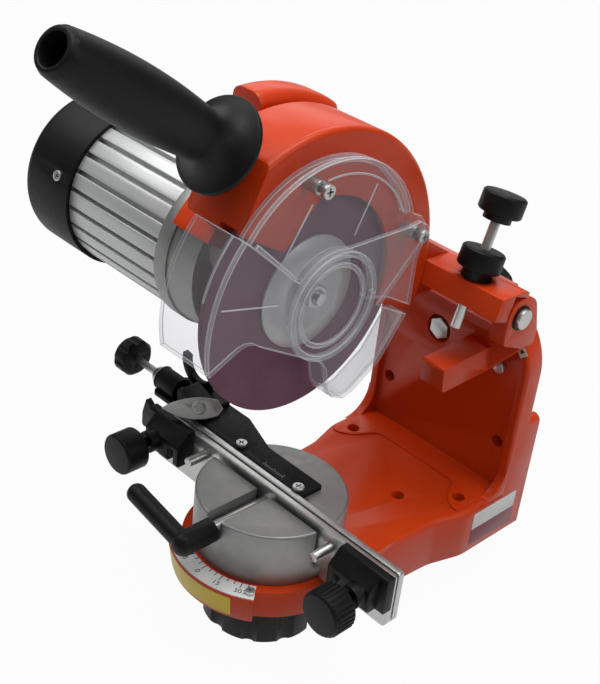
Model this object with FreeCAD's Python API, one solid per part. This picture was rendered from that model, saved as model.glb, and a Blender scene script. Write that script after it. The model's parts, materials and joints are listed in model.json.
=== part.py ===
import FreeCAD, Part
import math
import os

# Bench grinder for saw chains. Millimetres, x to the operator's right, y to the rear, z up from the bench.
# The solids are drawn about the vise axis, then moved so that the origin is between the rear bench bolts.
V = FreeCAD.Vector
X = V(1, 0, 0)
Y = V(0, 1, 0)
Z = V(0, 0, 1)
running_fit = 0.06

# Base casting: a hollow bed, a round horn under the vise and an upright panel
bed_half_width = 61
bed_neck_half_width = 51
bed_rear = 175
bed_top = 34
casting_wall = 6
horn_underside = 16
horn_radius = 59
horn_foot_radius = 56
horn_half_angle = 40
bench_bolt_x = 46.75
bench_bolt_y = 122.5
front_bolt_x = 21
front_bolt_y = 93.5
bolt_hole_radius = 4.25
boss_radius = 9
upright_front = 149
upright_panel_front = 153
upright_panel_rear = 158
upright_rear = 163
upright_half_width = bed_half_width
upright_top = 166
upright_corner = 46
wall_bolt_x = 47
wall_bolt_z = 66
wall_pad_top = 85
gusset_reach = 20
gusset_sink = 0.8
raised_step = 1.2
index_slot_radius = 34
index_slot_half_width = 4
index_slot_angles = (197, 219)

# Vise: turret, two rails with the chain gap between them, lever, end blocks and chain stop
turret_radius = 45
turret_bottom = 34.3
turret_top = 69
stud_radius = 6
rail_half_length = 100
rail_top = 72.5
rail_bottom = 37.5
rail_seat = 45
rail_thickness = 4
chain_gap = 1.5
rail_notch_half = 48
guide_bolt_x = 54
guide_bolt_z = 63.5
guide_bolt_radius = 3
clamp_rod_z = 61
clamp_rod_radius = 4
block_inner_x = 65
block_outer_x = 102
block_front = -18
block_bottom = 52
block_top = 74.5
side_knob_x = 87.5
side_knob_z = 61
side_knob_radius = 13
stop_plate_top = 72
stop_plate_screw_places = ((12, 9), (-40, 11))
stop_axis_y = 14
stop_axis_z = 77.5
stop_screw_radius = 2.5
stop_screw_tip = -88
stop_knob_right = -146
stop_sleeve_left = -119
stop_sleeve_right = -101
carriage_left = -97
carriage_right = -70
lever_pivot = V(-75.5, 6.5, 80.6)
lever_normal = V(0.5, -0.55, 0.67)
lever_along = V(0.6, 0.76, 0)

# Tilting bracket and the hinge of the grinding head
tilt_z = 133
tilt_bolt_radius = 6
tilt_head_depth = 6
tilt_head_radius = 7.5
bracket_front = 134
bracket_rear = 147
hinge_y = 127
hinge_z = 172.5
hinge_pin_radius = 5
ear_inner_x = 50
ear_outer_x = 61
crossbar_lean = math.radians(17.9)
crossbar_left = -34.5
depth_rod_x = 33
depth_rod_forward = 18
depth_rod_radius = 3
depth_seat = 12

# Grinding head: wheel, housing, guard and motor share one axis along x
wheel_y = 8.5
wheel_z = 198.6
wheel_radius = 72.5
wheel_thickness = 3.2
wheel_clearance = 3.5
arbor_radius = 7
arbor_thread_radius = 4
flange_radius = 33
drum_radius = 94
drum_wall = 5
drum_back = -36
drum_front = 2.5
cover_front = 6.5
drum_start_angle = -22
front_corner = (-41.5, 84.3)
front_foot = (-57, 49)
guard_plate_back = 16
guard_plate_front = 19
guard_wall_radius = 84
guard_wall_back = -20
guard_wall = 3
guard_arc_radius = 78
guard_screw_radius = 71
guard_screw_angles = (101.5, 18.8)
neck_radius = 52
neck_end = -60
neck_end_angle = 149
ring_end = -70
fin_radius = 46.5
fin_count = 26
motor_back = -152
cap_radius = 49
cap_end = -195
cap_screw_x = motor_back - 10
cap_screw_angles = (72, 162, 252, 342)
handle_x = -18
handle_y = -44.4
handle_z = 286.4
handle_length = 116
handle_rise = math.radians(33.3)
box_start_angle = 56
box_end_angle = 94
box_radius = 98
box_front = -40
box_back = -62


def bar(start, end, radius):
    return Part.makeCylinder(radius, (end - start).Length, start, end - start)


def ring(start, end, outer, inner):
    return bar(start, end, outer).cut(bar(start, end, inner))


def block(x0, x1, y0, y1, z0, z1):
    return Part.makeBox(x1 - x0, y1 - y0, z1 - z0, V(x0, y0, z0))


def turn(degrees, radius):
    angle = math.radians(degrees)
    return (radius * math.cos(angle), radius * math.sin(angle))


def plan(z):
    return lambda a, b: V(a, b, z)


def front(y):
    return lambda a, b: V(a, y, b)


def side(x):
    return lambda a, b: V(x, a, b)


def about_tilt(y):
    return lambda a, b: V(a, y, tilt_z + b)


def mirror_corner(corner):
    return (-corner[0],) + tuple(corner[1:])


def head(x):
    return lambda a, b: V(x, wheel_y + a, wheel_z + b)


def outline(corners, place):
    # Closed outline of straight runs; a corner is (a, b) or (a, b, radius of its tangent arc).
    points = [place(corner[0], corner[1]) for corner in corners]
    edges = []
    joints = []
    for i, corner in enumerate(corners):
        here = points[i]
        radius = corner[2] if len(corner) > 2 else 0
        if radius == 0:
            joints.append((here, here))
            continue
        back = (points[i - 1] - here).normalize()
        ahead = (points[(i + 1) % len(points)] - here).normalize()
        half = back.getAngle(ahead) / 2
        reach = radius / math.tan(half)
        first = here + back * reach
        last = here + ahead * reach
        to_centre = (back + ahead).normalize()
        middle = here + to_centre * (radius / math.sin(half) - radius)
        edges.append(Part.Arc(first, middle, last).toShape())
        joints.append((first, last))
    for i in range(len(points)):
        start = joints[i - 1][1]
        end = joints[i][0]
        if start.distanceToPoint(end) > 1e-6:
            edges.append(Part.LineSegment(start, end).toShape())
    return Part.Wire(Part.__sortEdges__(edges))


def plate(corners, place, depth):
    return Part.Face(outline(corners, place)).extrude(depth)


def wedge(place, radius, start, end, depth):
    # Pie slice about the local origin, from one angle to another.
    middle = turn((start + end) / 2, radius)
    first = turn(start, radius)
    last = turn(end, radius)
    centre = place(0, 0)
    edges = [
        Part.LineSegment(centre, place(*first)).toShape(),
        Part.Arc(place(*first), place(*middle), place(*last)).toShape(),
        Part.LineSegment(place(*last), centre).toShape(),
    ]
    return Part.Face(Part.Wire(edges)).extrude(depth)


def mirrored(shape):
    return shape.mirror(V(0, 0, 0), X)


def lobed_knob(centre, axis, radius, thickness, lobes, scallop):
    # Round grip with scallops cut between its lobes and a softened rim.
    body = bar(centre, centre + axis * thickness, radius)
    rim = [edge for edge in body.Edges if isinstance(edge.Curve, Part.Circle)]
    body = body.makeChamfer(min(2, thickness / 6), rim)
    across = axis.cross(X if abs(axis.x) < 0.5 else Y).normalize()
    other = axis.cross(across)
    cuts = []
    for i in range(lobes):
        angle = 2 * math.pi * i / lobes
        away = across * math.cos(angle) + other * math.sin(angle)
        at = centre + away * (radius + scallop * 0.45) - axis
        cuts.append(bar(at, at + axis * (thickness + 2), scallop))
    return body.cut(cuts)


def round_knob(centre, axis, radius, thickness):
    body = bar(centre, centre + axis * thickness, radius)
    rim = [edge for edge in body.Edges if isinstance(edge.Curve, Part.Circle)]
    return body.makeChamfer(1.2, rim)


def polygon(centre, axis, radius, sides):
    across = axis.cross(X if abs(axis.x) < 0.5 else Y).normalize()
    other = axis.cross(across)
    points = []
    for i in range(sides + 1):
        angle = 2 * math.pi * (i % sides) / sides
        points.append(centre + (across * math.cos(angle) + other * math.sin(angle)) * radius)
    return Part.makePolygon(points)


def hexagon(centre, axis, radius, thickness):
    return Part.Face(polygon(centre, axis, radius, 6)).extrude(axis * thickness)


def base_casting():
    half = bed_half_width
    neck = bed_neck_half_width
    bed_line = [(half, bed_rear, 8), (half, 116, 30), (54, 92, 30), (neck, 50, 4)]
    bed_line += [(-x, y, r) for x, y, r in reversed(bed_line)]
    bed = plate(bed_line, plan(0), Z * bed_top)
    top_edges = [e for e in bed.Edges if e.BoundBox.ZMin > bed_top - 0.1 and e.CenterOfMass.y > 56]
    bed = bed.makeFillet(4, top_edges)
    inner = half - casting_wall
    cavity_line = [(inner, bed_rear - casting_wall, 4), (inner, 117, 26), (48.5, 93, 26)]
    cavity_line.append((neck - casting_wall, 56, 2))
    cavity_line += [(-x, y, r) for x, y, r in reversed(cavity_line)]
    bed_cavity = plate(cavity_line, plan(-1), Z * (bed_top - casting_wall + 1))

    horn_height = bed_top - horn_underside
    horn_angles = (-90 - horn_half_angle, -90 + horn_half_angle)
    horn = wedge(plan(horn_underside), horn_radius + 1, *horn_angles, Z * horn_height)
    horn = horn.common(Part.makeCone(horn_foot_radius, horn_radius, horn_height, V(0, 0, horn_underside)))
    collar = Part.makeCylinder(neck, horn_height, V(0, 0, horn_underside))
    bridge = block(-neck, neck, 0, 60, horn_underside, bed_top)
    horn_cavity = Part.makeCylinder(neck - casting_wall, 10, V(0, 0, horn_underside))
    hollow_half = neck - casting_wall
    bridge_cavity = block(-hollow_half, hollow_half, 14, 50, horn_underside - 1, bed_top - casting_wall)

    wide = upright_half_width
    upright_line = [(wide, 0), (wide, upright_top, upright_corner)]
    upright_line += [(-wide, upright_top, upright_corner), (-wide, 0)]
    upright = plate(upright_line, front(upright_front), Y * (upright_rear - upright_front))
    front_rim = [e for e in upright.Edges if e.BoundBox.YMax < upright_front + 0.1 and e.BoundBox.ZMin > 0.1]
    upright = upright.makeFillet(2.5, front_rim)
    pad_line = [(wide, 0), (wide, wall_pad_top, 5), (-wide, wall_pad_top, 5), (-wide, 0)]
    pad = plate(pad_line, front(upright_rear), Y * (bed_rear - upright_rear))
    inset = wide - casting_wall
    tray_top = upright_top - casting_wall
    tray_line = [(inset, bed_top), (inset, tray_top, 38), (-inset, tray_top, 38), (-inset, bed_top)]
    tray = plate(tray_line, front(upright_front - 1), Y * (upright_panel_front - upright_front + 1))
    rear_cavity = plate(tray_line, front(upright_panel_rear), Y * 30)
    knob_gap = block(-46, 46, upright_panel_rear, bed_rear + 1, 120, upright_top + 1)

    foot = upright_front - gusset_reach
    crown = bed_top + gusset_reach
    bow = (gusset_reach + gusset_sink) * math.sqrt(0.5)
    rear = upright_front + 2
    low = bed_top - gusset_sink
    corner_edges = [
        Part.LineSegment(V(inset, foot, low), V(inset, rear, low)).toShape(),
        Part.LineSegment(V(inset, rear, low), V(inset, rear, crown)).toShape(),
        Part.LineSegment(V(inset, rear, crown), V(inset, upright_front + gusset_sink, crown)).toShape(),
        Part.Arc(V(inset, upright_front + gusset_sink, crown), V(inset, foot + bow, crown - bow),
                 V(inset, foot, low)).toShape(),
    ]
    gusset = Part.Face(Part.Wire(corner_edges)).extrude(X * casting_wall)
    step_line = [(inner, 111), (50, 111, 5), (42, 117, 8), (33, 133, 8)]
    step_line += [mirror_corner(corner) for corner in reversed(step_line)]
    step_line += [(-inner, upright_front + 1), (inner, upright_front + 1)]
    step = plate(step_line, plan(bed_top - 1), Z * (1 + raised_step))

    body = bed.fuse([collar, bridge, horn, upright, pad])
    body = body.cut([bed_cavity, horn_cavity, bridge_cavity, tray, rear_cavity, knob_gap])
    tilt_boss = bar(V(0, bracket_rear + 0.1, tilt_z), V(0, upright_panel_rear, tilt_z), 24)
    lumps = [gusset, mirrored(gusset), tilt_boss, step]
    holes = [bar(V(0, 100, tilt_z), V(0, 200, tilt_z), tilt_bolt_radius + running_fit)]
    holes.append(bar(V(0, 0, 0), V(0, 0, 60), stud_radius + running_fit))
    index_slot = wedge(about_tilt(upright_panel_front - 1), index_slot_radius + index_slot_half_width,
                       *index_slot_angles, Y * 8)
    slot_core = bar(V(0, 140, tilt_z), V(0, 170, tilt_z), index_slot_radius - index_slot_half_width)
    holes.append(index_slot.cut(slot_core))
    for x, y in ((bench_bolt_x, bench_bolt_y), (-bench_bolt_x, bench_bolt_y), (front_bolt_x, front_bolt_y)):
        lumps.append(bar(V(x, y, 0), V(x, y, bed_top - 3), boss_radius))
        holes.append(bar(V(x, y, -1), V(x, y, bed_top + 5), bolt_hole_radius))
    for sign in (-1, 1):
        x = sign * wall_bolt_x
        lumps.append(bar(V(x, upright_panel_front + 1, wall_bolt_z), V(x, bed_rear, wall_bolt_z), boss_radius + 2))
        holes.append(bar(V(x, 140, wall_bolt_z), V(x, 180, wall_bolt_z), bolt_hole_radius))
        x, y = scale_screw_place(sign)
        holes.append(bar(V(x, y, 20), V(x, y, 40), 1.6))
    return body.fuse(lumps).cut(holes).removeSplitter()


def scale_screw_place(sign):
    return turn(-90 + sign * 37, 53.5)


def angle_scale():
    outer = wedge(plan(bed_top), horn_radius - 0.5, -90 - horn_half_angle, -90 + horn_half_angle, Z)
    inner = Part.makeCylinder(turret_radius + 1.5, 3, V(0, 0, bed_top - 1))
    shape = outer.cut(inner)
    for sign in (-1, 1):
        x, y = scale_screw_place(sign)
        shape = shape.cut(bar(V(x, y, 20), V(x, y, 40), 1.6))
    return shape


def scale_screws():
    screws = []
    for sign in (-1, 1):
        x, y = scale_screw_place(sign)
        head_part = bar(V(x, y, bed_top + 1), V(x, y, bed_top + 2.8), 3)
        screws.append(head_part.fuse(bar(V(x, y, bed_top - 5), V(x, y, bed_top + 1), 1.5)))
    return Part.makeCompound(screws)


def vise_turret():
    body = Part.makeCylinder(turret_radius, turret_top - turret_bottom, V(0, 0, turret_bottom))
    rim = [e for e in body.Edges if isinstance(e.Curve, Part.Circle) and e.BoundBox.ZMin > turret_top - 0.1]
    body = body.makeFillet(1.5, rim)
    slot_rear = chain_gap / 2 + rail_thickness
    slot = block(-50, 50, -7, slot_rear, rail_seat, turret_top + 1)
    groove = block(-5.5, 5.5, -50, -6, clamp_rod_z - clamp_rod_radius - 0.1, turret_top + 1)
    hollow = Part.makeCylinder(38, 41 - turret_bottom + 1, V(0, 0, turret_bottom - 1))
    hollow = hollow.cut(Part.makeCylinder(14, 20, V(0, 0, turret_bottom - 1)))
    body = body.cut([slot, groove, hollow])
    holes = [bar(V(0, 0, 30), V(0, 0, 41), stud_radius)]
    for x, y in stop_plate_screw_places:
        holes.append(bar(V(x, y, 58), V(x, y, 80), 2.05))
    return body.cut(holes)


def pivot_stud():
    return bar(V(0, 0, -9), V(0, 0, 41), stud_radius)


def rail(y_near, hole_radius):
    line = [
        (-rail_half_length, rail_bottom, 3), (-rail_notch_half, rail_bottom, 3),
        (-rail_notch_half, rail_seat, 1), (rail_notch_half, rail_seat, 1),
        (rail_notch_half, rail_bottom, 3), (rail_half_length, rail_bottom, 3),
        (rail_half_length, rail_top, 2), (-rail_half_length, rail_top, 2),
    ]
    body = plate(line, front(y_near), Y * rail_thickness)
    for sign in (-1, 1):
        start = V(sign * guide_bolt_x, y_near - 1, guide_bolt_z)
        body = body.cut(bar(start, start + Y * (rail_thickness + 2), hole_radius))
    return body


def fixed_rail():
    return rail(chain_gap / 2, guide_bolt_radius)


def moving_rail():
    return rail(-chain_gap / 2 - rail_thickness, guide_bolt_radius + running_fit)


def guide_bolts():
    bolts = []
    seat = chain_gap / 2 + rail_thickness
    for sign in (-1, 1):
        x = sign * guide_bolt_x
        shank = bar(V(x, -19, guide_bolt_z), V(x, seat, guide_bolt_z), guide_bolt_radius)
        bolts.append(shank.fuse(hexagon(V(x, seat, guide_bolt_z), Y, 5, 4)))
    return Part.makeCompound(bolts)


def rail_block():
    rear = -chain_gap / 2 - rail_thickness
    line = [(rear, block_bottom), (rear, block_top), (rear - 5, block_top, 1.5), (block_front, 66, 2),
            (block_front, block_bottom, 2)]
    body = plate(line, side(block_inner_x), X * (block_outer_x - block_inner_x))
    pocket_top = 63
    low = block_bottom - 1
    body = body.cut([
        block(block_inner_x + 4, block_inner_x + 10, block_front - 1, block_front + 5, low, pocket_top),
        block(block_outer_x - 6, block_outer_x + 1, block_front - 1, block_front + 7, low, block_top + 1),
    ])
    boss = bar(V(side_knob_x, block_front - 6, side_knob_z), V(side_knob_x, block_front + 1, side_knob_z), 7)
    bore = bar(V(side_knob_x, -40, side_knob_z), V(side_knob_x, -9, side_knob_z), 3 + running_fit)
    return body.fuse(boss).cut(bore).removeSplitter()


def left_rail_block():
    # The left block carries an upright fin at its outer end.
    rear = -chain_gap / 2 - rail_thickness
    edge = -block_outer_x
    fin_line = [(edge + 8, 56), (edge + 8, 68), (edge - 5, block_top + 2), (edge - 8, 66, 2)]
    fin_line.append((edge - 8, 56, 2))
    fin = plate(fin_line, front(rear - 5), Y * 4)
    return mirrored(rail_block()).fuse(fin).removeSplitter()


def block_knob():
    grip = round_knob(V(side_knob_x, -31, side_knob_z), -Y, side_knob_radius, 16)
    shank = bar(V(side_knob_x, -31, side_knob_z), V(side_knob_x, -9.5, side_knob_z), 3)
    return grip.fuse(shank)


def round_ended(start, end, radius):
    # Bar whose far end is rounded down to a small flat.
    body = bar(start, end, radius)
    circles = [e for e in body.Edges if isinstance(e.Curve, Part.Circle)]
    far = [e for e in circles if e.CenterOfMass.distanceToPoint(end) < 0.1]
    return body.makeFillet(radius - 0.8, far)


def clamp_lever():
    # A sleeve in line with the clamp rod, an elbow and a grip that rises to the left.
    elbow = V(0, -66, clamp_rod_z)
    tip = V(-48, -66, clamp_rod_z + 9)
    sleeve = round_ended(V(0, -46.5, clamp_rod_z), V(0, -73, clamp_rod_z), 7.2)
    grip = round_ended(elbow, tip, 5.9)
    bore = bar(V(0, -55.8, clamp_rod_z), V(0, -40, clamp_rod_z), clamp_rod_radius + running_fit)
    return sleeve.fuse(grip).cut(bore).removeSplitter()


def clamp_rod():
    return bar(V(0, -54, clamp_rod_z), V(0, -chain_gap / 2 - rail_thickness, clamp_rod_z), clamp_rod_radius)


def on_stop(x):
    return V(x, stop_axis_y, stop_axis_z)


def stop_plate():
    near = chain_gap / 2 + rail_thickness + 0.4
    left = stop_sleeve_left
    line = [(18, near), (18, 23, 1), (-28, 23, 4), (-58, 34, 6), (left, 34, 6), (left, near, 3)]
    body = plate(line, plan(turret_top), Z * (stop_plate_top - turret_top))
    sleeve = bar(on_stop(left), on_stop(stop_sleeve_right), 7.6)
    foot = block(left + 3, stop_sleeve_right, stop_axis_y - 6, stop_axis_y + 6, turret_top + 1, stop_axis_z)
    overhang = block(left - 1, stop_sleeve_right + 1, 0, 40, 60, turret_top)
    body = body.fuse([sleeve, foot]).cut(overhang)
    body = body.cut(bar(on_stop(left - 2), on_stop(stop_sleeve_right + 2), stop_screw_radius + running_fit))
    for x, y in stop_plate_screw_places:
        body = body.cut(bar(V(x, y, 60), V(x, y, 80), 2.05))
    return body.removeSplitter()


def stop_plate_screws():
    screws = []
    for x, y in stop_plate_screw_places:
        head_part = bar(V(x, y, stop_plate_top), V(x, y, stop_plate_top + 2.2), 3.6)
        screws.append(head_part.fuse(bar(V(x, y, 60), V(x, y, stop_plate_top), 2)))
    return Part.makeCompound(screws)


def stop_carriage():
    # Block that slides on the stop plate, with a seat for the lever and a crescent hook behind it.
    base = stop_plate_top + 0.1
    line = [(carriage_left, base), (carriage_right - 3, base), (carriage_right, 76, 2),
            (carriage_right - 9, 79.5, 3), (carriage_left, 85.5, 3)]
    body = plate(line, front(7), Y * 15)
    hook_middle = V(-103, 29, 88.6)
    hook_radius = 16.4
    hook = wedge(lambda a, b: hook_middle + V(a, 0, b), hook_radius, 168, 330, Y * 4)
    hook = hook.cut(bar(hook_middle - Y, hook_middle + Y * 6, hook_radius - 5.5))
    web = block(carriage_left + 2, carriage_right - 6, 20, 33, base, base + 4)
    seat = bar(lever_place(0, 0, -9), lever_place(0, 0, -0.4), 5.5)
    below = block(-150, -40, -20, 50, 50, base)
    body = body.fuse([hook, web, seat]).cut(below)
    bore = bar(on_stop(-130), on_stop(stop_screw_tip + 8), stop_screw_radius + running_fit)
    return body.cut([bore, bar(lever_place(0, 0, -7), lever_place(0, 0, 2), 2)]).removeSplitter()


def lever_place(along, across, out):
    # Place on the tilted face of the stop lever: along it, across it and out towards the operator.
    normal = V(lever_normal).normalize()
    run = (lever_along - normal * lever_along.dot(normal)).normalize()
    return lever_pivot + run * along + normal.cross(run) * across + normal * out


def pawl_pin():
    shank = bar(lever_place(0, 0, -6.5), lever_place(0, 0, 3.2), 2)
    return shank.fuse(bar(lever_place(0, 0, 3.2), lever_place(0, 0, 5.2), 4.2))


def stop_pawl():
    # Lens-shaped lever with a square end, turned on its shouldered screw.
    def at(along, across):
        return lever_place(along, across, 0)

    edges = [
        Part.Arc(at(-23, 0), at(-6, -6.6), at(12, -4.6)).toShape(),
        Part.LineSegment(at(12, -4.6), at(15, 0)).toShape(),
        Part.LineSegment(at(15, 0), at(12, 5)).toShape(),
        Part.Arc(at(12, 5), at(-6, 6.2), at(-23, 0)).toShape(),
    ]
    body = Part.Face(Part.Wire(edges)).extrude(lever_place(0, 0, 3) - lever_place(0, 0, 0))
    return body.cut(bar(lever_place(0, 0, -2), lever_place(0, 0, 5), 2 + running_fit))


def stop_screw():
    shank = bar(on_stop(stop_knob_right - 2), on_stop(stop_screw_tip), stop_screw_radius)
    collar = Part.makeCone(5, 8.2, 5.5, on_stop(stop_sleeve_left - 5.8), X)
    return shank.fuse(collar)


def stop_knob():
    grip = lobed_knob(on_stop(stop_knob_right), -X, 12.5, 11, 8, 3)
    return grip.cut(bar(on_stop(stop_knob_right - 2), on_stop(stop_knob_right + 8), stop_screw_radius))


def vise_lock_knob():
    grip = lobed_knob(V(0, 0, -20), Z, 36, 32, 10, 6)
    hub = bar(V(0, 0, 12), V(0, 0, 23.8), 13)
    hollow = Part.makeCone(30, 27, 6, V(0, 0, -20), Z)
    return grip.fuse(hub).cut([bar(V(0, 0, -10), V(0, 0, 30), stud_radius + running_fit), hollow])


def lock_washer():
    return ring(V(0, 0, 24), V(0, 0, 26), 15, stud_radius + 0.3)


def tilt_bracket():
    wide = ear_outer_x
    line = [(-wide, 154.5), (-wide, 149, 3), (-34, 115, 10), (34, 115, 10), (wide, 149, 3), (wide, 154.5)]
    body = plate(line, front(bracket_front), Y * (bracket_rear - bracket_front))
    ear_line = [(bracket_rear, 149), (bracket_rear, 158, 6), (hinge_y + 12, hinge_z + 12, 12),
                (hinge_y - 12, hinge_z + 12, 12), (hinge_y - 12, 157, 4), (bracket_front, 149)]
    ear = plate(ear_line, side(ear_inner_x), X * (ear_outer_x - ear_inner_x))
    ledge_line = [(90, 139.5, 2), (bracket_front + 1, 140.5), (bracket_front + 1, 123), (92, 122.5, 3)]
    ledge = plate(ledge_line, side(24), X * 17)
    body = body.fuse([ear, mirrored(ear), ledge])
    return body.cut([
        bar(V(-80, hinge_y, hinge_z), V(80, hinge_y, hinge_z), hinge_pin_radius),
        bar(V(0, 100, tilt_z), V(0, 200, tilt_z), tilt_bolt_radius),
        bar(V(0, 100, tilt_z), V(0, bracket_front + tilt_head_depth, tilt_z), tilt_head_radius + 1.8),
    ]).removeSplitter()


def tilt_bolt():
    seat = V(0, bracket_front + tilt_head_depth, tilt_z)
    hex_head = hexagon(seat, -Y, tilt_head_radius, tilt_head_depth)
    return hex_head.fuse(bar(seat, V(0, 171, tilt_z), tilt_bolt_radius))


def tilt_lock_knob():
    grip = lobed_knob(V(0, 161, tilt_z), Y, 40, 13, 10, 6)
    hub = bar(V(0, upright_panel_rear + 0.2, tilt_z), V(0, 161, tilt_z), 14)
    return grip.fuse(hub).cut(bar(V(0, 150, tilt_z), V(0, 171.2, tilt_z), tilt_bolt_radius + running_fit))


def hinge_pin():
    end = V(ear_outer_x + 3.5, hinge_y, hinge_z)
    shank = bar(V(-ear_outer_x - 2, hinge_y, hinge_z), end, hinge_pin_radius)
    cap = bar(V(ear_outer_x + 0.1, hinge_y, hinge_z), end, 6.2)
    return shank.fuse(cap)


def head_point(x, forward, rise):
    # Place on the crossbar, measured from the hinge axis: forward along its leaning top, rise square to it.
    y = hinge_y - forward * math.cos(crossbar_lean) + rise * math.sin(crossbar_lean)
    z = hinge_z + forward * math.sin(crossbar_lean) + rise * math.cos(crossbar_lean)
    return V(x, y, z)


def return_spring():
    coil_radius = 8.2
    wire_radius = 1.1
    pitch = 2.7
    turns = 4
    start = V(drum_back - 1.5, hinge_y, hinge_z)

    def at(half_turns):
        angle = math.pi * half_turns
        along = -pitch * half_turns / 2
        return start + V(along, coil_radius * math.sin(angle), coil_radius * math.cos(angle))

    def heading(half_turns):
        angle = math.pi * half_turns
        speed = math.pi * coil_radius
        return V(-pitch / 2, speed * math.cos(angle), -speed * math.sin(angle)).normalize()

    edges = []
    samples = []
    steps = turns * 2
    for i in range(steps):
        first = at(i)
        last = at(i + 1)
        leaving = heading(i)
        arriving = heading(i + 1)
        chord = last - first
        spread = 2 * (1 - leaving.dot(arriving))
        along = chord.dot(leaving + arriving)
        reach = (-along + math.sqrt(along * along + spread * chord.dot(chord))) / spread
        knee_first = first + leaving * reach
        knee_last = last - arriving * reach
        middle = (knee_first + knee_last) * 0.5
        for begin, knee, end in ((first, knee_first, middle), (middle, knee_last, last)):
            half = (begin - knee).getAngle(end - knee) / 2
            radius = reach * math.tan(half)
            inward = ((begin - knee) + (end - knee)).normalize()
            crown = knee + inward * (radius / math.sin(half) - radius)
            edges.append(Part.Arc(begin, crown, end).toShape())
            samples += [begin, crown]
    gaps = [(samples[i] - samples[j]).Length for i in range(len(samples)) for j in range(i) if i - j > 4]
    print("return spring least gap between turns", round(min(gaps) - 2 * wire_radius, 2))
    path = Part.Wire(edges)
    profile = polygon(at(0), heading(0), wire_radius, 8)
    return path.makePipeShell([profile], True, False)


def crossbar_block(line, start, end):
    points = [head_point(start, forward, rise) for forward, rise in line]
    return Part.Face(Part.makePolygon(points + points[:1])).extrude(X * (end - start))


def housing_outline(place):
    # Round back of the drum, from its lower rear lip over the top to the straight front.
    lip = turn(drum_start_angle, drum_radius)
    top = turn(48, drum_radius)
    corner_angle = math.degrees(math.atan2(front_corner[1], front_corner[0]))
    corner = turn(corner_angle, drum_radius)
    points = [place(0, 0), place(*lip), place(*corner), place(*front_foot)]
    edges = [
        Part.LineSegment(points[0], points[1]).toShape(),
        Part.Arc(points[1], place(*top), points[2]).toShape(),
        Part.LineSegment(points[2], points[3]).toShape(),
        Part.LineSegment(points[3], points[0]).toShape(),
    ]
    return Part.Face(Part.Wire(edges))


def on_axis(x):
    return V(x, wheel_y, wheel_z)


def wheel_housing():
    drum = housing_outline(head(drum_back)).extrude(X * (drum_front - drum_back))
    long_edges = [e for e in drum.Edges if e.Length > 60 and e.CenterOfMass.z > wheel_z]
    rim = [e for e in long_edges if e.BoundBox.XMax < drum_back + 0.1]
    drum = drum.makeFillet(4, rim)
    neck_depth = drum_back + drum_wall - neck_end
    neck = wedge(head(neck_end), neck_radius, drum_start_angle, neck_end_angle, X * neck_depth)
    boss = bar(on_handle(-20), on_handle(-3), 12)
    cavity = bar(on_axis(drum_back + drum_wall), on_axis(drum_front + 1), drum_radius - drum_wall)
    front_wall = [(-29.2, 100), (-60, 29.6), (-130, 29.6), (-130, 100)]
    cavity = cavity.cut([plate(front_wall, head(drum_back), X * 60), boss])
    switch_box = wedge(head(box_back), box_radius, box_start_angle, box_end_angle, X * (box_front - box_back))
    switch_edges = [e for e in switch_box.Edges if e.Length > 60 and e.CenterOfMass.z > wheel_z + 80]
    switch_box = switch_box.makeFillet(7, switch_edges)
    valley_back = box_front - 8
    valley = wedge(head(valley_back), 84, box_start_angle, box_end_angle, X * (drum_back + 1 - valley_back))
    arm_line = [(84, 164), (106, 168, 8), (128, 166, 5), (136, 176, 4), (136, 184, 4)]
    arm_line += [(100, 206, 10), (84, 206)]
    arm = plate(arm_line, side(drum_back), X * (drum_front - drum_back))
    ear_side = ear_inner_x - 1
    bar_line = [(26, -3), (26, 10.5), (6, 16), (-4, 16), (-10, 8), (-10, -3)]
    crossbar = crossbar_block(bar_line, crossbar_left, ear_side)
    over_ear = [(26, -3), (26, 10.5), (6, 16), (1, 16), (1, 12.8), (13.8, 12.8), (13.8, -3)]
    crossbar = crossbar.fuse(crossbar_block(over_ear, ear_side, ear_outer_x)).removeSplitter()
    barrel = bar(V(crossbar_left, hinge_y, hinge_z), V(ear_side, hinge_y, hinge_z), 10)
    body = drum.fuse([neck, switch_box, valley])
    body = body.cut(cavity).fuse(boss)
    motor_space = bar(on_axis(neck_end - 3), on_axis(drum_back - 2.6), neck_radius - 5)
    box_space = wedge(head(box_back + 4), box_radius - 5, box_start_angle + 5, box_end_angle - 5,
                      X * (drum_back - 5 - box_back - 4))
    ring_space = bar(on_axis(box_back - 1), on_axis(neck_end), fin_radius + 2)
    wheel_space = bar(on_axis(-10), on_axis(drum_front + 1), wheel_radius + wheel_clearance)
    body = body.cut([motor_space, box_space, ring_space, wheel_space])
    arm = arm.cut(bar(on_axis(drum_back - 1), on_axis(drum_front + 20), drum_radius - drum_wall / 2))
    body = body.fuse([arm, crossbar, barrel])
    cuts = [
        bar(V(-60, hinge_y, hinge_z), V(70, hinge_y, hinge_z), hinge_pin_radius + running_fit),
        bar(depth_place(-30), depth_place(40), depth_rod_radius + running_fit),
        bar(depth_place(depth_seat), depth_place(40), 10.5),
        bar(on_axis(-70), on_axis(20), 15),
        bar(on_handle(-18), on_handle(0), 4),
        switch_cutout(),
        gland_bore(4.6),
    ]
    return body.cut(cuts).removeSplitter()


def on_handle(along):
    # Point on the handle's axis, measured forward and up from its flange.
    return V(handle_x, handle_y - along * math.cos(handle_rise), handle_z + along * math.sin(handle_rise))


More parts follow.
